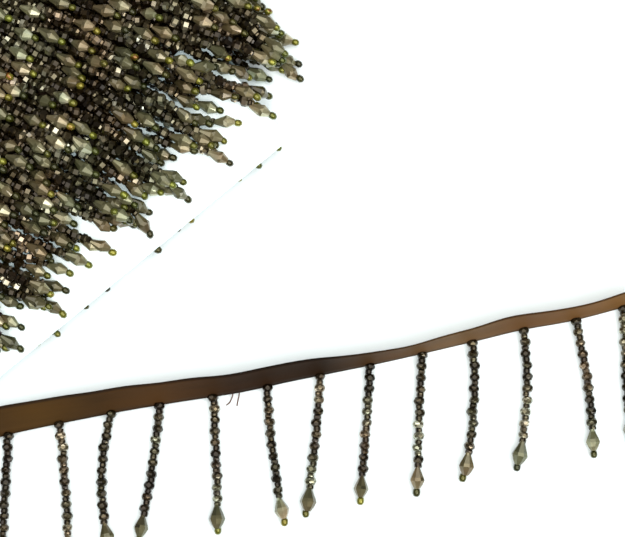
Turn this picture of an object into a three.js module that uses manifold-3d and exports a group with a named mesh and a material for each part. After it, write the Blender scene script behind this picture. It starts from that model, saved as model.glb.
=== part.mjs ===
// A roll of beaded fringe: satin tape with strands of glass beads, wound round a flat white card,
// with one loose length of the fringe lying beside it. Millimetres, +Z up, resting on z = 0.
import * as THREE from "three";
import { mergeVertices } from "three/addons/utils/BufferGeometryUtils.js";
import Module from "manifold-3d";

// Driving dimensions
const gap = 0.3;
const strandLength = 44.3;
const tapeWidth = 10;
const tapeThickness = 1;

const card = { width: 180, height: 150, thickness: 2.4, underside: 6.3, turn: 40, x: -145.3, y: -75.6 };
const cardTop = card.underside + card.thickness;

// The wound fringe, in the card's own axes: u along its lower edge, v up its face from that edge
const wound = {
  turnsDepth: 80, // how far the rows of tape climb, from the first turn to the last
  frontTips: 3.5, // v of the front tips at u = 0
  frontSlant: 0.045, // the front tips climb to the right by this share of u
  backTips: 1.2,
  backSlant: 0.045,
  reach: 42, // v from a strand's tip to its row of tape
  wrap: 8, // how far the turns stand out past the card's sides
};
const frontBunches = { pitch: 17, depth: 2.4 }; // the tips hang in uneven bunches
const backBunches = { pitch: 12, depth: 1.6 };
const cornerLift = { from: 165, rate: 0.006 }; // the front tips curl up towards the right-hand corner
const thatch = { height: 0.5, rows: 5, pitch: 19.5 }; // low ridges of strands lying over each other
const tailRecess = { u: 33, half: 17, depth: 14 }; // where the loose tape leaves from under the card
const sideHeight = { base: 5, share: 0.6, cells: 5 }; // the pile where it hangs over the card's sides

// Height of the front pile over the card, from its tips (0) to its last turn of tape (1)
const pileSection = [
  { at: 0, rise: 3.4 },
  { at: 0.06, rise: 6.2 },
  { at: 0.16, rise: 8 },
  { at: 0.3, rise: 9.8 },
  { at: 0.42, rise: 9.2 },
  { at: 0.6, rise: 7.8 },
  { at: 0.76, rise: 6 },
  { at: 0.87, rise: 3.8 },
  { at: 1, rise: 1.8 },
];

// How far the pile stands out past the card's sides: its strands all hang towards the lower right
const frontSides = [
  { at: 0, left: -9, right: 15 },
  { at: 0.1, left: 8, right: 21 },
  { at: 0.3, left: 12, right: 21 },
  { at: 0.7, left: 13, right: 20 },
  { at: 0.88, left: 10, right: 14 },
  { at: 1, left: wound.wrap, right: wound.wrap },
];
const backSides = [
  { at: 0, left: -11, right: -2 },
  { at: 0.15, left: 4, right: -1 },
  { at: 0.4, left: 9, right: wound.wrap },
  { at: 1, left: wound.wrap, right: wound.wrap },
];

// The loose tape: its lower edge on plan, and its tilt up from lying flat, in degrees
const tapeRoute = [
  { x: -132, y: -59.7, tilt: 4 },
  { x: -118, y: -56.8, tilt: 4 },
  { x: -104, y: -54, tilt: 5 },
  { x: -97.1, y: -52.6, tilt: 24 },
  { x: -90, y: -51.2, tilt: 38 },
  { x: -78.5, y: -48.9, tilt: 43 },
  { x: -70, y: -47.2, tilt: 46 },
  { x: -57.6, y: -44.8, tilt: 49 },
  { x: -41.8, y: -42.4, tilt: 53 },
  { x: -22.6, y: -39.7, tilt: 55 },
  { x: -7, y: -36, tilt: 58 },
  { x: 8.8, y: -32.7, tilt: 69 },
  { x: 24.6, y: -29.3, tilt: 76 },
  { x: 49.9, y: -23.1, tilt: 74 },
  { x: 65.6, y: -19.1, tilt: 72 },
  { x: 82.3, y: -15.8, tilt: 71 },
  { x: 103, y: -10.4, tilt: 70 },
];

// The loose strands: where each leaves the tape along x, how far its middle and its tip stand to
// the side of that place
const looseStrands = [
  { x: -127.2, middle: 0.6, tip: 1.5 },
  { x: -111, middle: -0.8, tip: -1.6 },
  { x: -94.8, middle: -0.6, tip: -1.9 },
  { x: -78.7, middle: 2.2, tip: 4 },
  { x: -62.5, middle: -2.8, tip: 0.8 },
  { x: -47.6, middle: -2.6, tip: -6.6 },
  { x: -31.1, middle: 1.7, tip: 2.2 },
  { x: -14.2, middle: 1.9, tip: 5.7 },
  { x: 2.3, middle: -1.5, tip: -4.3 },
  { x: 18, middle: -1.3, tip: -3.3 },
  { x: 34.3, middle: -1.1, tip: -2.2 },
  { x: 50, middle: 0.4, tip: -3.3 },
  { x: 66.1, middle: 0.9, tip: -2.6 },
  { x: 82.4, middle: 4, tip: 5.4 },
  { x: 97.6, middle: 0.5, tip: 1.5 },
];

// Half-width and height of a strand, by the distance from the tape's edge
const strandSection = [
  { at: -2.2, half: 1, high: 2 },
  { at: 0.6, half: 1, high: 2 },
  { at: 1.2, half: 1.6, high: 3.2 },
  { at: 33.6, half: 1.6, high: 3.2 },
  { at: 35.2, half: 1, high: 2.6 },
  { at: 39.4, half: 2.4, high: 4.8 },
  { at: 41.8, half: 1.3, high: 3 },
  { at: strandLength, half: 0.9, high: 1.9 },
];
const rail = { width: 2, height: 2 }; // the stitched ends of the strands, under the tape's edge

const wasm = await Module();
wasm.setup();

// Value of one column of a table at a place along it, on straight lines between its rows
function read(table, key, column, at) {
  const next = table.findIndex((row) => row[key] >= at);
  if (next === 0) return table[0][column];
  if (next < 0) return table[table.length - 1][column];
  const [a, b] = [table[next - 1], table[next]];
  return THREE.MathUtils.lerp(a[column], b[column], (at - a[key]) / (b[key] - a[key]));
}

function toSolid(geometry) {
  const bare = geometry.clone();
  bare.deleteAttribute("normal");
  bare.deleteAttribute("uv");
  const merged = mergeVertices(bare, 1e-4);
  return new wasm.Manifold(
    new wasm.Mesh({
      numProp: 3,
      vertProperties: new Float32Array(merged.attributes.position.array),
      triVerts: new Uint32Array(merged.index.array),
    }),
  );
}

function toGeometry(solid) {
  const mesh = solid.getMesh();
  const geometry = new THREE.BufferGeometry();
  geometry.setAttribute("position", new THREE.BufferAttribute(mesh.vertProperties, 3));
  geometry.setIndex(new THREE.BufferAttribute(mesh.triVerts, 1));
  geometry.computeVertexNormals();
  return geometry;
}

// A unit block, from 0 to 1 each way, with every corner of its grid moved by a function
function shapedBlock(cellsX, cellsY, cellsZ, place) {
  const geometry = new THREE.BoxGeometry(1, 1, 1, cellsX, cellsY, cellsZ);
  geometry.translate(0.5, 0.5, 0.5);
  const corner = new THREE.Vector3();
  const positions = geometry.attributes.position;
  for (let i = 0; i < positions.count; i++) {
    corner.fromBufferAttribute(positions, i);
    const moved = place(corner.x, corner.y, corner.z);
    positions.setXYZ(i, moved.x, moved.y, moved.z);
  }
  return geometry;
}

function plainBlock(low, high) {
  return shapedBlock(1, 1, 1, (x, y, z) => ({
    x: THREE.MathUtils.lerp(low.x, high.x, x),
    y: THREE.MathUtils.lerp(low.y, high.y, y),
    z: THREE.MathUtils.lerp(low.z, high.z, z),
  }));
}

// How far the tips stand back or forward along an edge: a broad wave with a finer one on it
function bunchesAt(u, bunches) {
  const broad = (Math.PI * u) / bunches.pitch;
  return bunches.depth * (Math.sin(broad) + 0.45 * Math.sin(2.7 * broad + 1));
}

// The front pile: strands lying like thatch, down to z = 0 beyond the card's sides
function frontPile() {
  const cellsAlong = 52;
  const cellsUp = 20;
  return shapedBlock(cellsAlong, cellsUp, 1, (s, t, top) => {
    const left = -read(frontSides, "at", "left", t);
    const right = card.width + read(frontSides, "at", "right", t);
    const u = THREE.MathUtils.lerp(left, right, s);
    const base = wound.frontTips + wound.frontSlant * u;
    const lift = cornerLift.rate * Math.max(0, u - cornerLift.from) ** 2;
    const tips = base + lift + bunchesAt(u, frontBunches);
    const lastRow = base + wound.reach + wound.turnsDepth + tapeWidth;
    const across = 2 * Math.PI * thatch.rows * t;
    const along = (2 * Math.PI * u) / thatch.pitch + across / 3;
    const ridges = thatch.height * (Math.sin(across) + Math.sin(along));
    const rise = read(pileSection, "at", "rise", t) + ridges * Math.min(1, 4 * t, 4 * (1 - t));
    const overCard = cardTop + gap + rise;
    const overSide = sideHeight.base + sideHeight.share * rise;
    const inFromSide = Math.min(1, (Math.min(s, 1 - s) * cellsAlong) / sideHeight.cells);
    return {
      x: u,
      y: THREE.MathUtils.lerp(tips, lastRow, t),
      z: top * THREE.MathUtils.lerp(overSide, overCard, Math.sqrt(inFromSide)),
    };
  });
}

// The back layer, pressed flat between the card and what it lies on. It stands back where the
// loose tape leaves from under the card.
function backLayer() {
  const cellsAlong = 48;
  const cellsUp = 4;
  return shapedBlock(cellsAlong, cellsUp, 1, (s, t, top) => {
    const left = -read(backSides, "at", "left", t);
    const right = card.width + read(backSides, "at", "right", t);
    const u = THREE.MathUtils.lerp(left, right, s);
    const recess = tailRecess.depth * Math.exp(-(((u - tailRecess.u) / tailRecess.half) ** 4));
    const tips = wound.backTips + recess + bunchesAt(u, backBunches);
    const lastRow = wound.backTips + wound.backSlant * u + wound.reach + wound.turnsDepth + tapeWidth;
    return { x: u, y: THREE.MathUtils.lerp(tips, lastRow, t), z: top * (card.underside - gap) };
  });
}

// The whole wound form: front pile and back layer joined round both sides of the card
function rollGeometry() {
  const farAway = 400;
  const underFront = plainBlock(
    { x: -gap, y: -farAway, z: -1 },
    { x: card.width + gap, y: farAway, z: cardTop + gap },
  );
  const front = toSolid(frontPile()).subtract(toSolid(underFront));
  return toGeometry(front.add(toSolid(backLayer())));
}

function cardGeometry() {
  const geometry = new THREE.BoxGeometry(card.width, card.height, card.thickness);
  geometry.translate(card.width / 2, card.height / 2, card.underside + card.thickness / 2);
  return geometry;
}

// The tape's lower edge on plan, as one smooth line
const tapeEdge = new THREE.CatmullRomCurve3(
  tapeRoute.map((row) => new THREE.Vector3(row.x, row.y, 0)),
  false,
  "centripetal",
);

// A place on the tape's lower edge with the level direction away from the strands
function edgeAt(share) {
  const point = tapeEdge.getPointAt(share);
  const along = tapeEdge.getTangentAt(share);
  return { point, across: new THREE.Vector3(-along.y, along.x, 0).normalize() };
}

function tapeGeometry() {
  const cellsAlong = 72;
  const liftOff = rail.height + gap + 0.2; // clear of the stitched ends below it
  return shapedBlock(cellsAlong, 2, 1, (s, t, top) => {
    const { point, across } = edgeAt(s);
    const tilt = THREE.MathUtils.degToRad(read(tapeRoute, "x", "tilt", point.x));
    const upFace = tapeWidth * t;
    const offFace = tapeThickness * top;
    const inward = upFace * Math.cos(tilt) - offFace * Math.sin(tilt);
    return {
      x: point.x + across.x * inward,
      y: point.y + across.y * inward,
      z: liftOff + upFace * Math.sin(tilt) + offFace * Math.cos(tilt),
    };
  });
}

// The share of the tape's length at which its edge reaches a given x
function shareAtX(x) {
  let low = 0;
  let high = 1;
  for (let i = 0; i < 30; i++) {
    const middle = (low + high) / 2;
    if (tapeEdge.getPointAt(middle).x < x) low = middle;
    else high = middle;
  }
  return low;
}

// A strand as an eight-sided bar with a flat underside, swelling to its drop and closing at its tip
function strandGeometry(row) {
  const { point } = edgeAt(shareAtX(row.x));
  const place = (down, aside) => new THREE.Vector3(point.x + aside, point.y - down, 0);
  const start = strandSection[0].at;
  const route = new THREE.QuadraticBezierCurve3(
    place(start, 0),
    place(strandLength / 2, 2 * row.middle - row.tip / 2),
    place(strandLength, row.tip),
  );
  const sides = 8;
  const rings = 15;
  const geometry = new THREE.CylinderGeometry(1, 1, 1, sides, rings, false, Math.PI / sides);
  const positions = geometry.attributes.position;
  const flatten = 1 / Math.cos(Math.PI / sides);
  for (let i = 0; i < positions.count; i++) {
    const share = positions.getY(i) + 0.5;
    const spot = route.getPointAt(share);
    const along = route.getTangentAt(share);
    const at = THREE.MathUtils.lerp(start, strandLength, share);
    const half = read(strandSection, "at", "half", at);
    const high = read(strandSection, "at", "high", at);
    const aside = half * flatten * positions.getX(i);
    positions.setXYZ(
      i,
      spot.x + along.y * aside,
      spot.y - along.x * aside,
      (high / 2) * (1 + flatten * positions.getZ(i)),
    );
  }
  return geometry;
}

// All loose strands, joined by the row of stitched ends under the tape's edge
function combGeometry() {
  const from = shareAtX(looseStrands[0].x - 2);
  const to = shareAtX(looseStrands[looseStrands.length - 1].x + 2);
  const cellsAlong = 60;
  const stitchedEnds = shapedBlock(cellsAlong, 1, 1, (s, t, top) => {
    const { point, across } = edgeAt(THREE.MathUtils.lerp(from, to, s));
    const inward = 0.4 + rail.width * t;
    return { x: point.x + across.x * inward, y: point.y + across.y * inward, z: rail.height * top };
  });
  const joined = looseStrands.reduce(
    (solid, row) => solid.add(toSolid(strandGeometry(row))),
    toSolid(stitchedEnds),
  );
  return toGeometry(joined);
}

// Finishes
const whiteBoard = new THREE.MeshStandardMaterial({ color: 0xf6f6f4, roughness: 0.7, metalness: 0 });
const darkBeads = new THREE.MeshStandardMaterial({ color: 0x3b3226, roughness: 0.25, metalness: 0.6 });
const brownSatin = new THREE.MeshStandardMaterial({ color: 0x64412a, roughness: 0.45, metalness: 0 });

function named(name, geometry, material) {
  const mesh = new THREE.Mesh(geometry, material);
  mesh.name = name;
  return mesh;
}

const onCard = new THREE.Group();
onCard.position.set(card.x, card.y, 0);
onCard.rotation.z = THREE.MathUtils.degToRad(card.turn);
onCard.add(named("card", cardGeometry(), whiteBoard));
onCard.add(named("roll", rollGeometry(), darkBeads));

const looseEnd = new THREE.Group();
looseEnd.add(named("loose_tape", tapeGeometry(), brownSatin));
looseEnd.add(named("loose_fringe", combGeometry(), darkBeads));

const beadedFringe = new THREE.Group();
beadedFringe.add(onCard, looseEnd);

// The origin is under the middle of the whole, on the level that it rests on
const whole = new THREE.Box3().setFromObject(beadedFringe, true);
const middle = whole.getCenter(new THREE.Vector3());
beadedFringe.position.set(-middle.x, -middle.y, -whole.min.z);

export default beadedFringe;
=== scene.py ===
import math
import random

import bmesh
import bpy
import numpy as np
from mathutils import Matrix, Vector


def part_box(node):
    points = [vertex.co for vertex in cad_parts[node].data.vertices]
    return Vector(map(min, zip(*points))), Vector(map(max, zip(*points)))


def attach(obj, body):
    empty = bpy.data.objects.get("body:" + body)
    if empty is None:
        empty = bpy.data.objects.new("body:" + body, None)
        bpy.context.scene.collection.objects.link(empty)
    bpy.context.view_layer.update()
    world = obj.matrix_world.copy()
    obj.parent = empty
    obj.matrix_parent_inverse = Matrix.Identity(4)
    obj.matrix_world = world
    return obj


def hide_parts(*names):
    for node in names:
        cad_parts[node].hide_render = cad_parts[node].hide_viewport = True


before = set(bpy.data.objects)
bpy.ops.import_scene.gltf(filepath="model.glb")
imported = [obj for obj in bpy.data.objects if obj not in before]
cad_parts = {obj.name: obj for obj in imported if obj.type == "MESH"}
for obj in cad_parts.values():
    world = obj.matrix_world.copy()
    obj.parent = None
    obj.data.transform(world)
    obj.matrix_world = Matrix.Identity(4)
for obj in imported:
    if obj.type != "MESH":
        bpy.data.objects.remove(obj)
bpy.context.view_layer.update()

mm = 0.001
chance = random.Random(11)

# The card's own axes: u along its lower edge, v up its face from that edge, z up, all in mm
card = {"width": 180, "height": 150, "thickness": 2.4, "underside": 6.3, "turn": math.radians(40)}
cardTop = card["underside"] + card["thickness"]
cardLow, cardHigh = (np.array(corner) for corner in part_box("card"))
cardMiddle = Vector((cardLow + cardHigh) / 2)
cardMatrix = (
    Matrix.Translation((cardMiddle.x, cardMiddle.y, 0))
    @ Matrix.Rotation(card["turn"], 4, "Z")
    @ Matrix.Scale(mm, 4)
    @ Matrix.Translation((-card["width"] / 2, -card["height"] / 2, 0))
)
# The loose end is laid out from a point between it and the card, in mm from there
cardCorner = Vector((-145.3, -75.6, 0))  # the card's lower left corner from that point
layoutMatrix = Matrix.Translation(cardMatrix @ Vector((0, 0, 0)) - cardCorner * mm) @ Matrix.Scale(mm, 4)


# Camera, light and floor
studio = {"elevation": 82, "distance": 0.6, "viewWidth": 0.1975, "sensor": 36}


def makeCamera():
    target = layoutMatrix @ Vector((0, 0, 0))
    tilt = math.radians(studio["elevation"])
    data = bpy.data.cameras.new("camera")
    data.sensor_width = studio["sensor"]
    data.lens = studio["sensor"] * studio["distance"] / studio["viewWidth"]
    data.clip_start, data.clip_end = 0.01, 20
    camera = bpy.data.objects.new("camera", data)
    camera.location = target + Vector((0, -math.cos(tilt), math.sin(tilt))) * studio["distance"]
    camera.rotation_euler = (math.pi / 2 - tilt, 0, 0)
    bpy.context.scene.collection.objects.link(camera)
    bpy.context.scene.camera = camera


def makeLamp(name, place, power, size, colour=(1, 1, 1)):
    data = bpy.data.lights.new(name, "AREA")
    data.energy, data.size, data.color = power, size, colour
    lamp = bpy.data.objects.new(name, data)
    lamp.location = place
    lamp.rotation_euler = (-Vector(place)).to_track_quat("-Z", "Y").to_euler()
    bpy.context.scene.collection.objects.link(lamp)


def makeStudio():
    world = bpy.data.worlds.new("studio")
    bpy.context.scene.world = world
    world.use_nodes = True
    sky = world.node_tree.nodes["Background"]
    sky.inputs["Color"].default_value = (1, 0.97, 0.91, 1)
    sky.inputs["Strength"].default_value = 0.3
    makeLamp("overheadSoftbox", (0.1, -0.1, 1.25), 36, 2, (1, 0.97, 0.92))
    makeLamp("windowRight", (0.62, -0.55, 0.75), 2.6, 0.3, (1, 0.97, 0.93))
    bpy.context.scene.view_settings.view_transform = "Standard"

    bm = bmesh.new()
    bmesh.ops.create_grid(bm, x_segments=1, y_segments=1, size=3)
    floor = meshObject("floor", bm)
    paint = Finish("paleFloor")
    paint.shader.inputs["Base Color"].default_value = (0.82, 0.91, 0.95, 1)
    paint.shader.inputs["Roughness"].default_value = 0.9
    floor.data.materials.append(paint.material)


def meshObject(name, bm):
    mesh = bpy.data.meshes.new(name)
    bm.to_mesh(mesh)
    bm.free()
    made = bpy.data.objects.new(name, mesh)
    bpy.context.scene.collection.objects.link(made)
    return made


# Materials: a wire is a socket that takes part in sums
class Wire:
    def __init__(self, finish, socket):
        self.finish, self.socket = finish, socket

    def calc(self, operation, a, b):
        return self.finish.node("ShaderNodeMath", {"operation": operation}, {0: a, 1: b})

    def __add__(self, other):
        return self.calc("ADD", self, other)

    def __radd__(self, other):
        return self.calc("ADD", other, self)

    def __sub__(self, other):
        return self.calc("SUBTRACT", self, other)

    def __rsub__(self, other):
        return self.calc("SUBTRACT", other, self)

    def __mul__(self, other):
        return self.calc("MULTIPLY", self, other)

    def __rmul__(self, other):
        return self.calc("MULTIPLY", other, self)


class Finish:
    def __init__(self, name):
        self.material = bpy.data.materials.new(name)
        self.material.use_nodes = True
        self.tree = self.material.node_tree
        self.shader = self.tree.nodes["Principled BSDF"]

    def feed(self, socket, value):
        if isinstance(value, Wire):
            self.tree.links.new(value.socket, socket)
        else:
            socket.default_value = value

    def node(self, kind, settings=None, inputs=None, output=0):
        made = self.tree.nodes.new(kind)
        for key, value in (settings or {}).items():
            if key == "stops":
                self.setStops(made.color_ramp, value)
            else:
                setattr(made, key, value)
        for key, value in (inputs or {}).items():
            self.feed(made.inputs[key], value)
        return Wire(self, made.outputs[output])

    def setStops(self, ramp, stops):
        while len(ramp.elements) < len(stops):
            ramp.elements.new(1)
        for element, (place, colour) in zip(ramp.elements, stops):
            element.position, element.color = place, (*colour, 1)

    def set(self, **values):
        for key, value in values.items():
            self.feed(self.shader.inputs[key.replace("_", " ")], value)

    def noise(self, coordinates, scale, detail=2):
        return self.node("ShaderNodeTexNoise", {}, {"Vector": coordinates, "Scale": scale, "Detail": detail})

    def mix(self, share, a, b, blend="MIX"):
        made = self.tree.nodes.new("ShaderNodeMix")
        made.data_type, made.blend_type = "RGBA", blend
        for key, value in ((0, share), (6, a), (7, b)):
            self.feed(made.inputs[key], value)
        return Wire(self, made.outputs[2])


# Ramps of glass colours, how much a bead's facets differ from each other, and the clear top coat
glass = {
    "bronze": {
        "stops": [
            (0, (0.004, 0.002, 0.0004)),
            (0.3, (0.012, 0.0075, 0.0018)),
            (0.5, (0.044, 0.034, 0.0145)),
            (0.65, (0.16, 0.142, 0.094)),
            (0.78, (0.45, 0.43, 0.35)),
            (0.92, (0.9, 0.89, 0.82)),
        ],
        "facets": 0.3,
        "roughness": 0.15,
        "metallic": 0.8,
        "coat": (0.35, 1.6),
    },
    "smoke": {
        "stops": [
            (0, (0.02, 0.018, 0.008)),
            (0.3, (0.07, 0.066, 0.034)),
            (0.52, (0.12, 0.11, 0.061)),
            (0.74, (0.18, 0.166, 0.1)),
            (0.9, (0.38, 0.37, 0.26)),
            (1, (0.7, 0.69, 0.56)),
        ],
        "facets": 0.5,
        "roughness": 0.16,
        "metallic": 0.45,
        "coat": (0.5, 1.6),
    },
    "olive": {
        "stops": [
            (0, (0.012, 0.013, 0.002)),
            (0.45, (0.045, 0.05, 0.006)),
            (0.74, (0.15, 0.158, 0.016)),
            (0.9, (0.26, 0.265, 0.035)),
            (0.96, (0.2, 0.09, 0.015)),
        ],
        "facets": 0.15,
        "roughness": 0.12,
        "metallic": 0.6,
        "coat": (0.6, 1.5),
    },
}


def glassFinish(name):
    kind = glass[name]
    paint = Finish(name + "Glass")
    tint = paint.node("ShaderNodeAttribute", {"attribute_name": "tint"}, output=2)
    facet = paint.node("ShaderNodeAttribute", {"attribute_name": "facet"}, output=2)
    place = paint.node("ShaderNodeTexCoord", {}, output=3)
    clouds = paint.noise(place, 420)
    tone = tint * (1 - kind["facets"]) + facet * kind["facets"] + clouds * 0.2 - 0.1
    colour = paint.node("ShaderNodeValToRGB", {"stops": kind["stops"]}, {0: tone})
    # Strands side by side come from batches of glass a little warmer or cooler than each other
    batches = paint.node(
        "ShaderNodeValToRGB",
        {"stops": [(0.35, (0.84, 0.94, 0.86)), (0.5, (0.97, 0.94, 0.85)), (0.62, (1, 0.82, 0.72))]},
        {0: paint.noise(place, 75, 1)},
    )
    paint.set(Base_Color=paint.mix(1.0, colour, batches, "MULTIPLY"), Metallic=kind["metallic"])
    coat, bending = kind["coat"]
    paint.set(Coat_Weight=coat, Coat_Roughness=0.04, Coat_IOR=bending)
    paint.set(Roughness=kind["roughness"] + paint.noise(place, 900) * 0.16, Specular_IOR_Level=0.15)
    return paint.material


# Beads: each is made once, with +Z towards the strand's tip, and repeated along the strands
beadShapes = {
    "rondelle": {
        "profile": [(0.95, -1.25), (1.66, -0.7), (1.66, 0.7), (0.95, 1.25)],
        "sides": 7,
        "smooth": False,
    },
    "seed": {"profile": [(0.95, -0.6), (1.15, 0), (0.95, 0.6)], "sides": 6, "smooth": False},
    "drop": {
        "profile": [(0.65, -3.6), (1.85, -0.2), (2.15, 0.9), (0.9, 3.5)],
        "sides": 8,
        "turned": (2,),
        # from this height towards the tip the facets are made lighter, a painted highlight
        "paintedHighlightFrom": 0.9,
        "smooth": False,
    },
    "endBead": {
        "profile": [(0.55, -1.3), (1.1, -0.6), (1.14, 0.5), (0.6, 1.3)],
        "sides": 8,
        "smooth": True,
    },
    "fineRondelle": {
        "profile": [(1.1, -1.2), (1.48, -0.75), (1.74, -0.25), (1.74, 0.25), (1.48, 0.75), (1.1, 1.2)],
        "sides": 8,
        "turned": (1, 4),
        "smooth": False,
    },
    "fineSeed": {
        "profile": [(1, -0.72), (1.14, -0.4), (1.17, 0), (1.14, 0.4), (1, 0.72)],
        "sides": 10,
        "smooth": False,
    },
    "fineDrop": {
        "profile": [(0.65, -3.6), (1, -2.8), (2.15, -0.3), (2.48, 0.7), (1.8, 2.2), (0.9, 3.5)],
        "sides": 8,
        # from this height towards the tip the facets are made lighter, a painted highlight
        "paintedHighlightFrom": 0.4,
        "smooth": False,
    },
    "fineEndBead": {
        "profile": [(0.5, -1.35), (0.95, -1.0), (1.16, -0.3), (1.16, 0.4), (0.9, 1.05), (0.5, 1.3)],
        "sides": 14,
        "smooth": True,
    },
}


# A bead's faces ranked round its axis, each step from the top down, and the two ends last. The
# operators shuffle the faces differently in each run, and the glass has to stay the same.
def rankOf(face, sides):
    x, y, z = face.calc_center_median()
    step = math.atan2(y, x) % (2 * math.pi) * sides // (2 * math.pi)
    return (sides if len(face.verts) > 4 else step) * 100 - z


def makeBead(kind, material):
    shape = beadShapes[kind]
    bm = bmesh.new()
    line = [bm.verts.new((radius, 0, height)) for radius, height in shape["profile"]]
    edges = [bm.edges.new(pair) for pair in zip(line, line[1:])]
    bmesh.ops.spin(
        bm,
        geom=line + edges,
        axis=(0, 0, 1),
        cent=(0, 0, 0),
        steps=shape["sides"],
        angle=2 * math.pi,
        use_merge=True,
    )
    bmesh.ops.remove_doubles(bm, verts=bm.verts, dist=0.001)
    halfStep = Matrix.Rotation(math.pi / shape["sides"], 3, "Z")
    for ring in shape.get("turned", ()):
        height = shape["profile"][ring][1]
        verts = [v for v in bm.verts if abs(v.co.z - height) < 0.001]
        bmesh.ops.rotate(bm, verts=verts, cent=(0, 0, 0), matrix=halfStep)
    bmesh.ops.holes_fill(bm, edges=bm.edges, sides=0)
    bm.faces.sort(key=lambda face: rankOf(face, shape["sides"]))
    facet = bm.faces.layers.float.new("facet")
    for face in bm.faces:
        # painted highlight: a drop's facets towards its tip get lighter glass, standing for the key light
        # they reflect
        paintedHighlight = "paintedHighlightFrom" in shape and face.calc_center_median().z > shape["paintedHighlightFrom"]
        face[facet] = chance.uniform(0.6 if paintedHighlight else 0, 1)
    bmesh.ops.triangulate(bm, faces=bm.faces)
    bmesh.ops.recalc_face_normals(bm, faces=bm.faces)
    bmesh.ops.scale(bm, vec=(mm, mm, mm), verts=bm.verts)
    for face in bm.faces:
        face.smooth = shape["smooth"]
    bead = meshObject(kind, bm)
    bead.data.materials.append(material)
    return bead


def repeaterNodes(bead):
    tree = bpy.data.node_groups.new(bead.name + "Repeater", "GeometryNodeTree")
    tree.interface.new_socket("Geometry", in_out="INPUT", socket_type="NodeSocketGeometry")
    tree.interface.new_socket("Geometry", in_out="OUTPUT", socket_type="NodeSocketGeometry")
    add, link = tree.nodes.new, tree.links.new
    start, end = add("NodeGroupInput"), add("NodeGroupOutput")
    source, copies, joined = (
        add("GeometryNodeObjectInfo"),
        add("GeometryNodeInstanceOnPoints"),
        add("GeometryNodeRealizeInstances"),
    )
    source.inputs["Object"].default_value = bead
    turn, size = add("GeometryNodeInputNamedAttribute"), add("GeometryNodeInputNamedAttribute")
    turn.data_type, size.data_type = "FLOAT_VECTOR", "FLOAT"
    turn.inputs["Name"].default_value, size.inputs["Name"].default_value = "turn", "size"
    asRotation = add("FunctionNodeEulerToRotation")
    link(turn.outputs["Attribute"], asRotation.inputs["Euler"])
    link(start.outputs[0], copies.inputs["Points"])
    link(source.outputs["Geometry"], copies.inputs["Instance"])
    link(asRotation.outputs["Rotation"], copies.inputs["Rotation"])
    link(size.outputs["Attribute"], copies.inputs["Scale"])
    link(copies.outputs["Instances"], joined.inputs["Geometry"])
    link(joined.outputs["Geometry"], end.inputs[0])
    return tree


def placeBeads(name, bead, beads):
    bm = bmesh.new()
    turn = bm.verts.layers.float_vector.new("turn")
    size = bm.verts.layers.float.new("size")
    tint = bm.verts.layers.float.new("tint")
    for place, along, tone in beads:
        vert = bm.verts.new(place)
        spun = along.to_track_quat("Z", "Y").to_matrix() @ Matrix.Rotation(chance.uniform(0, 6.3), 3, "Z")
        vert[turn] = spun.to_euler()
        vert[size] = chance.uniform(0.92, 1.06)
        vert[tint] = tone
    made = meshObject(name, bm)
    made.modifiers.new("repeat", "NODES").node_group = repeaterNodes(bead)
    graph = bpy.context.evaluated_depsgraph_get()
    final = bpy.data.meshes.new_from_object(
        made.evaluated_get(graph), preserve_all_data_layers=True, depsgraph=graph
    )
    made.modifiers.clear()
    made.data = final
    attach(made, "root")
    print(f"{name}: {len(beads)} beads, {len(final.polygons)} triangles")
    return made


# One strand, by distance from the tape's edge, in mm
strand = {"length": 44.3, "rondelles": 10, "first": 0.9, "pitch": 3.55, "drop": 38.5, "endBead": 43}
outline = {
    "at": [0, 33.6, 34.9, 39.1, 41.8, 42.6, 44.3],
    "radius": [1.66, 1.66, 0.9, 2.1, 1.15, 1.15, 0.9],
    "looseHeight": [1.8, 1.8, 1.8, 2.6, 1.6, 1.3, 1.3],
}


def strandPattern():
    beads = []
    for i in range(strand["rondelles"]):
        at = strand["first"] + i * strand["pitch"]
        beads += [("rondelle", at), ("seed", at + strand["pitch"] * 0.5)]
    return beads + [("drop", strand["drop"]), ("endBead", strand["endBead"])]


def lengthAlong(line):
    return np.concatenate([[0], np.cumsum(np.linalg.norm(np.diff(line, axis=0), axis=1))])


# How light a strand's beads are, and how much each one tilts and has play on its thread, in mm
stringing = {
    "tone": 0.45,
    "toneSpread": 0.15,
    "wave": 0.24,
    "waveLength": 5,
    "beadShare": 0.38,
    "seedTone": 0.8,
    "tilt": 0.17,
    "dropTilt": 0.06,
    "play": 0.14,
    "rise": 0.08,
}


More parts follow.
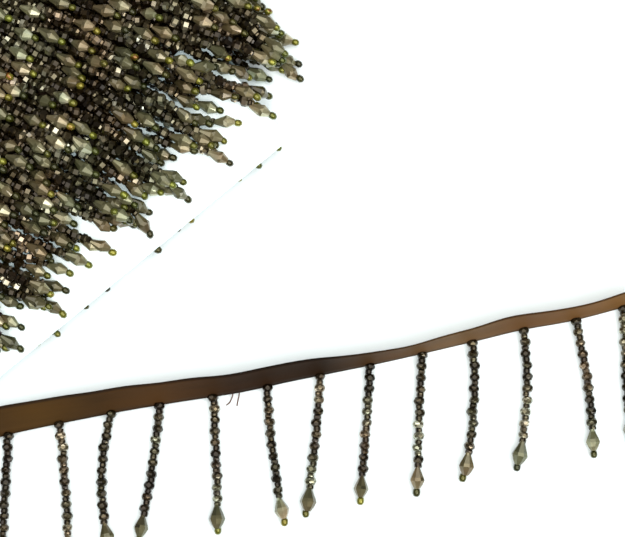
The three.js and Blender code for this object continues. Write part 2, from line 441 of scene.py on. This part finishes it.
# Thread one strand's beads on a line, and add them to the piles of like beads. Some strands, and
# some stretches of a strand, are lighter than others; the beads next to the tape are darkened as painted
# shade under its edge.
def threadBeads(line, matrix, piles, slack=1):
    along = lengthAlong(line) / slack
    at = lambda distance: Vector([np.interp(distance, along, line[:, k]) for k in range(3)])
    tone, phase = chance.gauss(stringing["tone"], stringing["toneSpread"]), chance.uniform(0, 6.3)
    play, rise, share = stringing["play"], stringing["rise"], stringing["beadShare"]
    for kind, distance in strandPattern():
        reach = 3.2 if kind == "drop" else 0.8
        ahead = at(min(distance + reach, along[-1])) - at(max(distance - reach, 0))
        tilt = stringing["dropTilt" if kind == "drop" else "tilt"]
        lean = Vector([chance.gauss(0, tilt) for _ in range(3)])
        direction = (matrix.to_3x3() @ (ahead.normalized() + lean)).normalized()
        aside = Vector([chance.gauss(0, play), chance.gauss(0, play), abs(chance.gauss(0, rise))])
        aside -= ahead * aside.dot(ahead) / ahead.length_squared
        stretch = tone + stringing["wave"] * math.sin(distance / stringing["waveLength"] + phase)
        own = chance.random()
        if kind in ("rondelle", "seed"):
            own = stretch * (1 - share) + own * share
        # painted shade: beads within a few mm of the tape are darkened as if shaded by its edge; seeds are a
        # little darker throughout
        own *= min(0.5 + distance / 8, 1) * (stringing["seedTone"] if kind == "seed" else 1)
        piles.setdefault(kind, []).append((matrix @ (at(distance) + aside), direction, min(max(own, 0), 1)))


# The loose end: satin tape and strands
looseTape = {
    "width": 10,
    "thickness": 0.3,
    "route": [
        {"x": -132, "y": -61.4, "tilt": 6},
        {"x": -118, "y": -58.1, "tilt": 8},
        {"x": -104, "y": -55, "tilt": 16},
        {"x": -97.1, "y": -53.2, "tilt": 26},
        {"x": -90, "y": -51.4, "tilt": 33},
        {"x": -78.5, "y": -49, "tilt": 40},
        {"x": -70, "y": -47.3, "tilt": 43},
        {"x": -57.6, "y": -44.9, "tilt": 46},
        {"x": -41.8, "y": -42.3, "tilt": 53},
        {"x": -22.6, "y": -39.3, "tilt": 58},
        {"x": -7, "y": -35.9, "tilt": 58},
        {"x": 8.8, "y": -32.7, "tilt": 68},
        {"x": 24.6, "y": -29.4, "tilt": 75},
        {"x": 49.9, "y": -23.5, "tilt": 71},
        {"x": 65.6, "y": -19.7, "tilt": 68},
        {"x": 82.3, "y": -16.6, "tilt": 71},
        {"x": 103, "y": -11.1, "tilt": 70},
    ],
}
# Where each strand hangs, how its middle and tip swing to the right, and how loosely it is strung
looseStrands = [
    {"x": -127.2, "middle": 0.6, "tip": 1.5, "slack": 0},
    {"x": -111, "middle": -0.8, "tip": -1.6, "slack": 0.5},
    {"x": -94.8, "middle": -0.6, "tip": -1.9, "slack": 0},
    {"x": -78.7, "middle": 2.2, "tip": 4, "slack": 0},
    {"x": -62.5, "middle": -2.8, "tip": 0.8, "slack": 0},
    {"x": -47.6, "middle": -2.6, "tip": -6.6, "slack": 0},
    {"x": -31.1, "middle": 1.3, "tip": 1.6, "slack": -0.8},
    {"x": -14.2, "middle": 2.1, "tip": 6, "slack": 0.2},
    {"x": 2.3, "middle": -1.6, "tip": -4.7, "slack": 1},
    {"x": 18, "middle": -1.5, "tip": -3.7, "slack": 0.1},
    {"x": 34.3, "middle": -1.1, "tip": -2.2, "slack": 1.1},
    {"x": 50, "middle": 0.2, "tip": -3.8, "slack": 0.6},
    {"x": 66.1, "middle": 0.7, "tip": -3.1, "slack": 1.2},
    {"x": 82.4, "middle": 3.8, "tip": 5, "slack": 0.2},
    {"x": 97.6, "middle": 0.5, "tip": 1.5, "slack": 0},
]


# A smooth line through rows of points, sampled evenly (uniform Catmull-Rom)
def smoothLine(points, step):
    points = np.array(points, float)
    ends = np.vstack([2 * points[0] - points[1], points, 2 * points[-1] - points[-2]])
    fine = []
    for a, b, c, d in zip(ends, ends[1:], ends[2:], ends[3:]):
        for t in np.linspace(0, 1, 12, endpoint=False):
            bend = (2 * a - 5 * b + 4 * c - d) * t**2
            twist = (3 * b - 3 * c + d - a) * t**3
            fine.append(0.5 * (2 * b + (c - a) * t + bend + twist))
    fine = np.array(fine + [points[-1]])
    along = lengthAlong(fine)
    at = np.linspace(0, along[-1], int(along[-1] / step) + 1)
    return np.stack([np.interp(at, along, fine[:, k]) for k in range(points.shape[1])], axis=1)


# A ribbon from rows of points across it: a grid whose corners are moved onto them
def ribbonObject(name, rows, thickness, material):
    long, wide = rows.shape[0] - 1, rows.shape[1] - 1
    middles = rows.mean(axis=1)
    distance = lengthAlong(middles)
    bm = bmesh.new()
    uv = bm.loops.layers.uv.new("tape")
    bmesh.ops.create_grid(bm, x_segments=long, y_segments=wide, size=0.5)
    placeOf = {}
    for vert in bm.verts:
        cell = (round((vert.co.x + 0.5) * long), round((vert.co.y + 0.5) * wide))
        placeOf[vert] = cell
    for face in bm.faces:
        face.smooth = True
        for loop in face.loops:
            i, j = placeOf[loop.vert]
            loop[uv].uv = (distance[i], j / wide)
    for vert, (i, j) in placeOf.items():
        vert.co = rows[i, j]
    made = meshObject(name, bm)
    made.data.materials.append(material)
    solid = made.modifiers.new("thickness", "SOLIDIFY")
    solid.thickness, solid.offset = thickness, 0
    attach(made, "root")
    return made


def looseTapeRows():
    line = smoothLine([(row["x"], row["y"], row["tilt"]) for row in looseTape["route"]], 1.2)
    going = np.gradient(line[:, :2], axis=0)
    going /= np.linalg.norm(going, axis=1)[:, None]
    rows = []
    for (x, y, tilt), (gx, gy) in zip(line, going):
        slope = math.radians(tilt)
        wave = 0.18 * math.sin(x / 7.3) + 0.12 * math.sin(x / 3.1 + 1)
        row = []
        for share in np.linspace(0, 1, 7):
            inward = looseTape["width"] * share
            cup = 0.5 * math.sin(math.pi * share) * math.sin(slope) + wave * share
            across = inward * math.cos(slope) + cup * math.sin(slope)
            height = 1.9 + inward * math.sin(slope) - cup * math.cos(slope)
            row.append(layoutMatrix @ Vector((x - gy * across, y + gx * across, height)))
        rows.append(row)
    return np.array(rows), line


def looseStrandLine(row, edge):
    x = row["x"]
    y = np.interp(x, edge[:, 0], edge[:, 1])
    share = np.linspace(0, 1, 60)[:, None]
    start = np.array([x, y + 0.6])
    end = np.array([x + row["tip"], y - strand["length"] - row["slack"] + 0.2])
    bend = np.array([x + 2 * row["middle"] - row["tip"] / 2, y - strand["length"] / 2])
    flat = (1 - share) ** 2 * start + 2 * share * (1 - share) * bend + share**2 * end
    along = lengthAlong(flat)
    height = np.interp(along, outline["at"], outline["looseHeight"])
    height += 0.4 * np.exp(-along / 1.5)
    return np.column_stack([flat, height])


# The tape's brown along its length with painted light and shade: the loose end is lighter towards its far
# end, where it stands up steeply, and darker in its middle, and the wound tape is dark all over as painted
# shade under the strands; how far on, as a share of the loose end's length, and the colour there
tapeColourAndShade = {
    "loose": [
        (0.14, (0.042, 0.021, 0.006)),
        (0.2, (0.06, 0.03, 0.007)),
        (0.28, (0.044, 0.022, 0.007)),
        (0.36, (0.06, 0.028, 0.009)),
        (0.46, (0.026, 0.012, 0.005)),
        (0.58, (0.018, 0.009, 0.004)),
        (0.67, (0.09, 0.046, 0.018)),
        (0.75, (0.16, 0.095, 0.045)),
        (0.85, (0.125, 0.062, 0.024)),
        (0.95, (0.17, 0.084, 0.026)),
    ],
    "wound": [(0, (0.018, 0.009, 0.004)), (0.5, (0.026, 0.013, 0.006)), (1, (0.014, 0.008, 0.004))],
}


def satinFinish(name, stops, length):
    paint = Finish(name)
    uv = paint.node("ShaderNodeUVMap", {"uv_map": "tape"})
    onward = paint.node("ShaderNodeSeparateXYZ", {}, {0: uv}) * (1 / length)
    # the tape's brown, with painted light and shade along its length
    colourAndShade = paint.node("ShaderNodeValToRGB", {"stops": stops}, {0: onward})
    streaks = paint.noise(paint.node("ShaderNodeMapping", {}, {"Vector": uv, "Scale": (60, 90, 1)}), 1, 4)
    broad = paint.noise(paint.node("ShaderNodeMapping", {}, {"Vector": uv, "Scale": (40, 2.4, 1)}), 1)
    # lengthwise streaks in the satin's colour: partly its weave, partly painted sheen
    streaksAndSheen = paint.node(
        "ShaderNodeValToRGB",
        {"stops": [(0.3, (0.72, 0.74, 0.78)), (0.5, (0.94, 0.94, 0.94)), (0.68, (1, 0.97, 0.9))]},
        {0: streaks * 0.4 + broad * 0.6},
    )
    # The edges are darker than the satin between them: partly the woven edges, partly painted shade along the
    # upper rim
    across = paint.node("ShaderNodeSeparateXYZ", {}, {0: uv}, output=1)
    edges = paint.node(
        "ShaderNodeValToRGB",
        {"stops": [(0, (0.6, 0.56, 0.5)), (0.07, (1, 1, 1)), (0.86, (1, 1, 1)), (0.95, (0.3, 0.27, 0.22))]},
        {0: across},
    )
    ribs = paint.node(
        "ShaderNodeTexWave",
        {"wave_type": "BANDS", "bands_direction": "X"},
        {"Vector": uv, "Scale": 900, "Distortion": 0.4},
    )
    weave = ribs * 0.4 + streaks
    bump = paint.node("ShaderNodeBump", {}, {"Strength": 0.12, "Distance": 0.0002, "Height": weave})
    shadedAndStreaked = paint.mix(1.0, colourAndShade, streaksAndSheen, "MULTIPLY")
    paint.set(Base_Color=paint.mix(1.0, shadedAndStreaked, edges, "MULTIPLY"), Roughness=0.5 + streaks * 0.2, Normal=bump)
    paint.set(Specular_IOR_Level=0.08)
    return paint.material


# Two thread tails, left where the strands are sewn on, from under the tape's edge to the table
threadTails = [
    [(-24.6, -38.9, 1.7), (-25.2, -41, 0.9), (-25.9, -42.4, 0.3), (-26.9, -43.2, 0.15)],
    [(-22.8, -38.6, 1.7), (-23, -40.6, 1), (-23.4, -42.2, 0.3), (-23.6, -43.4, 0.15)],
]


def makeThreadTails():
    bm = bmesh.new()
    for route in threadTails:
        for a, b in zip(route, route[1:]):
            a, b = Vector(a), Vector(b)
            turned = (b - a).to_track_quat("Z", "Y").to_matrix().to_4x4()
            bmesh.ops.create_cone(
                bm,
                cap_ends=True,
                segments=6,
                radius1=0.22,
                radius2=0.22,
                depth=(b - a).length + 0.08,
                matrix=Matrix.Translation((a + b) / 2) @ turned,
            )
    bmesh.ops.transform(bm, matrix=layoutMatrix, verts=bm.verts)
    tails = meshObject("threadTails", bm)
    paint = Finish("brownThread")
    paint.set(Base_Color=(0.09, 0.03, 0.018, 1), Roughness=0.6)
    tails.data.materials.append(paint.material)
    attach(tails, "root")
    return tails


def boardFinish():
    paint = Finish("whiteBoard")
    place = paint.node("ShaderNodeTexCoord", {}, output=3)
    fibres = paint.noise(place, 2200, 4)
    clouds = paint.noise(place, 30)
    shade = fibres * 0.3 + clouds * 0.7
    colour = paint.node(
        "ShaderNodeValToRGB", {"stops": [(0.3, (0.83, 0.9, 0.92)), (0.7, (0.87, 0.93, 0.95))]}, {0: shade}
    )
    bump = paint.node("ShaderNodeBump", {}, {"Strength": 0.15, "Distance": 0.0001, "Height": fibres})
    paint.set(Base_Color=colour, Roughness=0.62 + fibres * 0.15, Normal=bump)
    # Painted light: a faint cyan glow on the card brightens the shaded gaps between the strands
    paint.set(Emission_Color=(0.75, 0.97, 1, 1), Emission_Strength=0.3)  # painted light: the card glows a little so that the shade between strands lying on it stays pale
    return paint.material


def makeCard(material):
    bm = bmesh.new()
    bmesh.ops.create_cube(bm, size=1)
    bmesh.ops.scale(bm, vec=(card["width"], card["height"], card["thickness"]), verts=bm.verts)
    corners = [e for e in bm.edges if abs(e.verts[0].co.z - e.verts[1].co.z) > 1]
    like = {"offset_type": "OFFSET", "affect": "EDGES", "profile": 0.5, "material": -1}
    bmesh.ops.bevel(bm, geom=corners, offset=0.8, segments=3, **like)
    level = lambda e: abs(e.verts[0].co.z - e.verts[1].co.z) < 0.001
    rims = [e for e in bm.edges if level(e) and e.calc_face_angle(0) > 1]
    bmesh.ops.bevel(bm, geom=rims, offset=0.2, segments=2, **like)
    middle = (card["width"] / 2, card["height"] / 2, card["underside"] + card["thickness"] / 2)
    bmesh.ops.translate(bm, vec=middle, verts=bm.verts)
    bmesh.ops.transform(bm, matrix=cardMatrix, verts=bm.verts)
    bmesh.ops.recalc_face_normals(bm, faces=bm.faces)
    board = meshObject("cardBoard", bm)
    board.data.materials.append(material)
    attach(board, "root")
    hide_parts("card")


# The wound fringe. The ground is a map of how high the things already laid down reach.
class Ground:
    def __init__(self, low, high, cell):
        self.low, self.cell = np.array(low, float), cell
        cells = np.ceil((np.array(high) - self.low) / cell).astype(int) + 1
        self.heights = np.zeros(tuple(cells))
        self.bare = self.heights

    # What is there so far is hard: beads rest on it and don't sink in
    def harden(self):
        self.bare = self.heights.copy()

    def cellsOf(self, points):
        found = np.rint((points - self.low) / self.cell).astype(int)
        return tuple(np.clip(found[..., k], 0, self.heights.shape[k] - 1) for k in (0, 1))

    def under(self, points):
        return self.heights[self.cellsOf(points)]

    def lowest(self, points, sizes):
        return self.bare[self.cellsOf(points)] + sizes * winding["clearance"]

    def cover(self, points, tops):
        np.maximum.at(self.heights, self.cellsOf(points), tops)


winding = {
    # The tape goes up the card, down and up again: turns, and its lower edge's first and last v
    "courses": [
        {"turns": 4, "first": 46, "last": 108},
        {"turns": 4, "first": 98, "last": 48},
        {"turns": 25, "first": 40, "last": 129},
    ],
    "frontSlant": 0.045,
    "backLower": 1.5,
    "spacing": 16.2,
    "wrapReach": 3.4,
    "wrapGrowth": 0.1,
    "layer": 0.3,
    "press": 0.82,
    "backPress": 0.3,
    "backLean": 18,
    "clearance": 1.2,
    "backClearance": 1.08,
}
# Which way the front strands lean from straight down the card towards +u, in degrees
leans = [
    {"u": 205, "v": 30, "lean": 37},
    {"u": 190, "v": 60, "lean": 33},
    {"u": 165, "v": 12, "lean": 24},
    {"u": 140, "v": 90, "lean": 24},
    {"u": 130, "v": 45, "lean": 14},
    {"u": 105, "v": 55, "lean": 15},
    {"u": 92, "v": 24, "lean": 36},
    {"u": 82, "v": 9, "lean": 21},
    {"u": 50, "v": 30, "lean": 16},
    {"u": 0, "v": 60, "lean": 24},
]
# Where the end beads lie on the lowest front strands, and on the back strands that show under the
# card's edge: u and v, and some strands' own lean
frontTips = [
    (8, 7), (15, 2.5), (22, 4), (31, 8), (38, 3), (45, 5), (52, 2.5), (57, 7), (65, 4), (73.7, 2), (78.2, 7),
    (82, 12.5), (90.5, 2), (95.7, 7), (100.6, 10.5), (106.4, 9), (114.8, 7, 24), (119.4, 11.7), (127, 4.3, 5),
    (131.3, 10), (133.3, 14, 20), (142.9, 4.5, 5), (147.6, 18.5, 29), (145, 10, 29), (160.5, 5.7, 24),
    (163.2, 12.5, 28), (163.4, 19, 36), (171, 13.7, 42), (180.4, 8.5, 28), (184.9, 15, 40), (188.9, 18.7, 23),
    (196.2, 12.5, 18), (198.8, 17.7, 32), (203.1, 23, 33), (202.6, 36.4, 32), (197, 40, 34), (190, 28, 46),
    (176, 31, 50), (200, 28, 36), (192, 22, 30), (175, 20, 38), (154, 15, 30), (138, 11, 22), (123, 15, 18),
]
backTips = [
    (12, 0.8), (27, -0.3), (44, 0.5), (60, 1), (78.5, 1), (85.4, -0.9, 12), (97.5, 0.3), (106, 0.3),
    (124.7, 1.2), (126.2, -0.4), (135.2, 1), (139.8, 0.3), (160, 0.8), (167.5, 0, 26), (176, 0.5, 30),
]


def leanAt(u, v):
    weights = [1 / ((u - row["u"]) ** 2 + (v - row["v"]) ** 2 + 60) for row in leans]
    return sum(w * row["lean"] for w, row in zip(weights, leans)) / sum(weights)


stations = np.linspace(0, strand["length"], 46)
radii = np.interp(stations, outline["at"], outline["radius"])
stencil = np.array([(x, y) for x in range(-3, 4) for y in range(-3, 4)]) * 0.8


# A strand's line on plan, from where it leaves the tape
def planLine(start, lean, bend):
    angle = np.radians(lean + bend * (stations / strand["length"] - 0.4))
    steps = np.column_stack([np.sin(angle), -np.cos(angle)]) * stations[1]
    return np.array(start) + np.vstack([[0, 0], np.cumsum(steps[:-1], axis=0)]), angle


# Lay it on the ground: it spans hollows, and its slope has a limit
def layStrand(ground, flat, angle, startHeight):
    side = np.column_stack([np.cos(angle), np.sin(angle)]) * radii[:, None] * 0.4
    below = np.max([ground.under(flat), ground.under(flat + side), ground.under(flat - side)], axis=0)
    height = np.maximum(below + radii * 0.6, ground.lowest(flat, radii))
    height[0] = max(height[0], startHeight)
    fall = 1.1 * stations[1]
    for i in range(1, len(height)):
        height[i] = max(height[i], height[i - 1] - fall)
    for i in range(len(height) - 2, -1, -1):
        height[i] = max(height[i], height[i + 1] - fall)
    height[1:-1] = (height[:-2] + 2 * height[1:-1] + height[2:]) / 4
    return np.column_stack([flat, height])


# The lowest-lying of a few ways down for a strand, or none where all would reach past the edge
def bestStrand(ground, start, lean, startHeight, allowed):
    best, bestCost = None, 1e9
    for shift in (-7.6, -6.3, -5, -3.8, -2.5, -1.3, 0, 1.3, 2.5, 3.8, 5, 6.3, 7.6):
        for turn in (-3, 0, 3):
            flat, angle = planLine((start[0] + shift, start[1]), lean + turn, chance.gauss(0, 3))
            if not allowed(flat[-1]):
                continue
            line = layStrand(ground, flat, angle, startHeight)
            cost = line[:, 2].mean() + 0.03 * abs(shift) + 0.02 * abs(turn) + chance.random() * 0.15
            if cost < bestCost:
                best, bestCost = line, cost
    return best


def pileUp(ground, line):
    sizes = np.interp(lengthAlong(line), outline["at"], outline["radius"], right=0)
    reach = sizes[:, None] ** 2 - (stencil**2).sum(axis=1)[None, :]
    where, which = np.nonzero(reach > 0)
    ground.cover(line[where, :2] + stencil[which], line[where, 2] + np.sqrt(reach[where, which]))


def turnRows():
    rows = []
    for course in winding["courses"]:
        rows += list(np.linspace(course["first"], course["last"], course["turns"]))
    return rows


def wobble(turn, u):
    return 0.9 * math.sin(u / 31 + turn * 2.1) + 0.6 * math.sin(u / 13 + turn * 4.7)


shares = np.linspace(0, 1, 4)


# One pass of tape over a face of the card: rows of points across it, each on the ground
def tapePass(ground, us, rowOf):
    rows = []
    for u in us:
        low = rowOf(u)
        points = np.array([(u, low + looseTape["width"] * share) for share in shares])
        inner = points + np.array([0, 1.5]) * np.array([1, 0, 0, -1])[:, None]
        rows.append(np.column_stack([points, ground.under(inner) + winding["layer"] * 0.6]))
    rows = np.array(rows)
    for _ in range(3):
        rows[1:-1, :, 2] = (rows[:-2, :, 2] + 2 * rows[1:-1, :, 2] + rows[2:, :, 2]) / 4
    return rows


def coverTape(ground, rows):
    for share in np.linspace(0, 1, 15):
        line = np.stack([[np.interp(share, shares, row[:, k]) for k in range(3)] for row in rows])
        for shift in (-1.6, -0.8, 0, 0.8, 1.6):
            ground.cover(line[:, :2] + np.array([shift, 0]), line[:, 2] + winding["layer"] * 0.4)


# The tape's way round a side of the card, from one face to the other
def wrapRows(start, end, reach):
    rows = []
    for share in np.linspace(0, 1, 10)[1:-1]:
        row = start * (1 - share) + end * share
        row[:, 0] += reach * math.sin(math.pi * share)
        swing = math.cos(math.pi * share)
        row[:, 2] = (start[:, 2] + end[:, 2]) / 2 + (start[:, 2] - end[:, 2]) / 2 * swing
        rows.append(row)
    return np.array(rows)


# Strands that must end at a given place are laid once the rows have climbed to their upper ends
def layWaiting(ground, waiting, rowOf, leanOf, startHeight, press):
    laid = []
    for tip in list(waiting):
        lean = tip[2] if len(tip) > 2 else leanOf(*tip)
        flat, angle = planLine((0, 0), lean + chance.gauss(0, 2), chance.gauss(0, 8))
        start = np.array(tip[:2]) - flat[-2]
        if start[1] > rowOf(start[0]) + 3:
            continue
        waiting.remove(tip)
        for _ in range(3):
            line = layStrand(ground, flat + start, angle, startHeight)
            along = lengthAlong(line * (1, 1, press))
            start += [tip[k] - np.interp(strand["endBead"], along, line[:, k]) for k in (0, 1)]
        pileUp(ground, line)
        laid.append(line)
    return laid


# The strands that hang from one turn of the tape, and how far on the next turn's first one is
def hangTurn(grounds, laid, turnRows, layer, nextStrand, inFront, behind):
    front, back = grounds
    lengths = lengthAlong(turnRows[:, 0])
    while nextStrand < lengths[-1]:
        place = lambda at: [np.interp(at, lengths, turnRows[:, 0, k]) for k in range(3)]
        spot, ahead = place(nextStrand), place(nextStrand + 1)
        nextStrand += winding["spacing"] * chance.uniform(0.88, 1.12)
        beside = not 0 < spot[0] < card["width"]
        if beside or ahead[0] > spot[0]:
            lean = leanAt(spot[0], spot[1] - 20) + chance.gauss(0, 1)
            lean = lean * 0.6 if beside else lean
            ground, line = front, bestStrand(front, spot[:2], lean, spot[2], inFront)
        else:
            lean = 17 + chance.gauss(0, 6)
            ground, line = back, bestStrand(back, spot[:2], lean, card["underside"] - spot[2], behind)
        if line is not None:
            pileUp(ground, line)
            laid[layer if ground is front else "back"].append(line)
    return nextStrand - lengths[-1]


# The winding is pulled tight: what lies in front is pressed a little, and the card's weight
# flattens what lies behind it
def pressDown(laid, tape, front):
    for line in [*laid["inner"], *laid["outer"], *tape]:
        over = line[..., 2] > cardTop
        line[..., 2] = np.where(over, cardTop + (line[..., 2] - cardTop) * winding["press"], line[..., 2])
    for line in [*laid["inner"], *laid["outer"]]:
        line[:, 2] = np.maximum(line[:, 2], front.lowest(line[:, :2], radii))
    deepest = max(line[:, 2].max() for line in laid["back"])
    squeeze = (card["underside"] - 1.5) / deepest
    for line in laid["back"]:
        line[:, 2] = card["underside"] - (radii + (line[:, 2] - radii).clip(0) * squeeze)
        line[:, 2] = line[:, 2].clip(radii * winding["backClearance"], None)
    return deepest


def windFringe(piles):
    low, high = (-35, -20), (235, 190)
    front, back = Ground(low, high, 0.8), Ground(low, high, 0.8)
    us, vs = np.meshgrid(np.arange(0, card["width"] + 1, 0.8), np.arange(0, card["height"] + 1, 0.8))
    front.cover(np.column_stack([us.ravel(), vs.ravel()]), cardTop)
    front.harden()
    edge = np.array([tip[:2] for tip in sorted(frontTips) if tip[1] < 24])
    inFront = lambda tip: tip[0] < 203 and tip[1] > np.interp(tip[0], edge[:, 0], edge[:, 1]) + 1
    behind = lambda tip: tip[0] < card["width"] - 2 and tip[1] > 1
    backLean = lambda u, v: winding["backLean"]
    passAlong = np.linspace(0, card["width"], 46)
    waiting, waitingBehind = list(frontTips), list(backTips)
    laid = {layer: [] for layer in piles}
    tape, lastRow, distance, nextStrand = [], None, 0, winding["spacing"] * 0.4

    rows = turnRows()
    outerFrom = len(rows) - winding["courses"][-1]["turns"]
    for turn, row in enumerate(rows):
        frontRow = lambda u: row + winding["frontSlant"] * (u - 90) + wobble(turn, u)
        backRow = lambda u: row - winding["backLower"] + 1.5 * wobble(turn + 40, u)
        over = tapePass(front, passAlong, frontRow)
        coverTape(front, over)
        under = tapePass(back, passAlong[::-1], backRow)
        coverTape(back, under)
        deep = under.copy()
        deep[:, :, 2] = card["underside"] - np.minimum(deep[:, :, 2], card["underside"] - 0.4)
        reach = winding["wrapReach"] + winding["wrapGrowth"] * turn
        parts = [over, wrapRows(over[-1], deep[0], reach), deep]
        if lastRow is not None:
            parts.insert(0, wrapRows(lastRow, over[0], -reach))
        lastRow = deep[-1]
        thisTurn = np.concatenate(parts)
        tape.append(thisTurn)

        layer = "outer" if turn >= outerFrom else "inner"
        if layer == "outer":
            press, backPress = winding["press"], winding["backPress"]
            laid["outer"] += layWaiting(front, waiting, frontRow, leanAt, cardTop + 1, press)
            laid["back"] += layWaiting(back, waitingBehind, backRow, backLean, 1.5, backPress)
        nextStrand = hangTurn((front, back), laid, thisTurn, layer, nextStrand, inFront, behind)
        distance += lengthAlong(thisTurn[:, 0])[-1]

    deepest = pressDown(laid, tape, front)
    for layer, lines in laid.items():
        for line in lines:
            threadBeads(line, cardMatrix, piles[layer])
    counts = {layer: len(lines) for layer, lines in laid.items()}
    print(f"wound: strands {counts}, {distance / 1000:.2f} m of tape, {deepest:.1f} mm deep behind unpressed")
    print("left waiting:", waiting, waitingBehind)
    return np.concatenate(tape)


print("studio")
makeCamera()
makeStudio()

print("materials")
bronze, smoke, olive = (glassFinish(name) for name in glass)
beadMaterials = {"rondelle": bronze, "seed": bronze, "drop": smoke, "endBead": olive}

print("card")
makeCard(boardFinish())

print("loose end")
looseRows, looseEdge = looseTapeRows()
looseLength = float(lengthAlong(looseRows.mean(axis=1))[-1])
# the loose end's brown carries painted light and shade along it
looseSatin = satinFinish("looseSatin", tapeColourAndShade["loose"], looseLength)
looseRibbon = ribbonObject("looseTape", looseRows, looseTape["thickness"] * mm, looseSatin)
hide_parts("loose_tape")
loosePiles = {}
for row in looseStrands:
    slack = 1 + row["slack"] / strand["length"]
    threadBeads(looseStrandLine(row, looseEdge), layoutMatrix, loosePiles, slack)
for kind, beads in loosePiles.items():
    fine = "fine" + kind[0].upper() + kind[1:]
    bead = makeBead(fine, beadMaterials[kind])
    piece = placeBeads("loose" + kind[0].upper() + kind[1:] + "s", bead, beads)
    bpy.data.objects.remove(bead)
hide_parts("loose_fringe")
makeThreadTails()

print("wound fringe")
piles = {"inner": {}, "outer": {}, "back": {}}
tapeRows = np.array([[cardMatrix @ Vector(point) for point in row] for row in windFringe(piles)])
woundLength = float(lengthAlong(tapeRows.mean(axis=1))[-1])
# the wound tape's brown is darkened all over as painted shade under the strands
woundSatin = satinFinish("woundSatin", tapeColourAndShade["wound"], woundLength)
woundRibbon = ribbonObject("woundTape", tapeRows, 0.2 * mm, woundSatin)
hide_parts("roll")
for layer, kinds in piles.items():
    for kind, beads in kinds.items():
        bead = makeBead(kind, beadMaterials[kind])
        piece = placeBeads(layer + kind[0].upper() + kind[1:] + "s", bead, beads)
        bpy.data.objects.remove(bead)
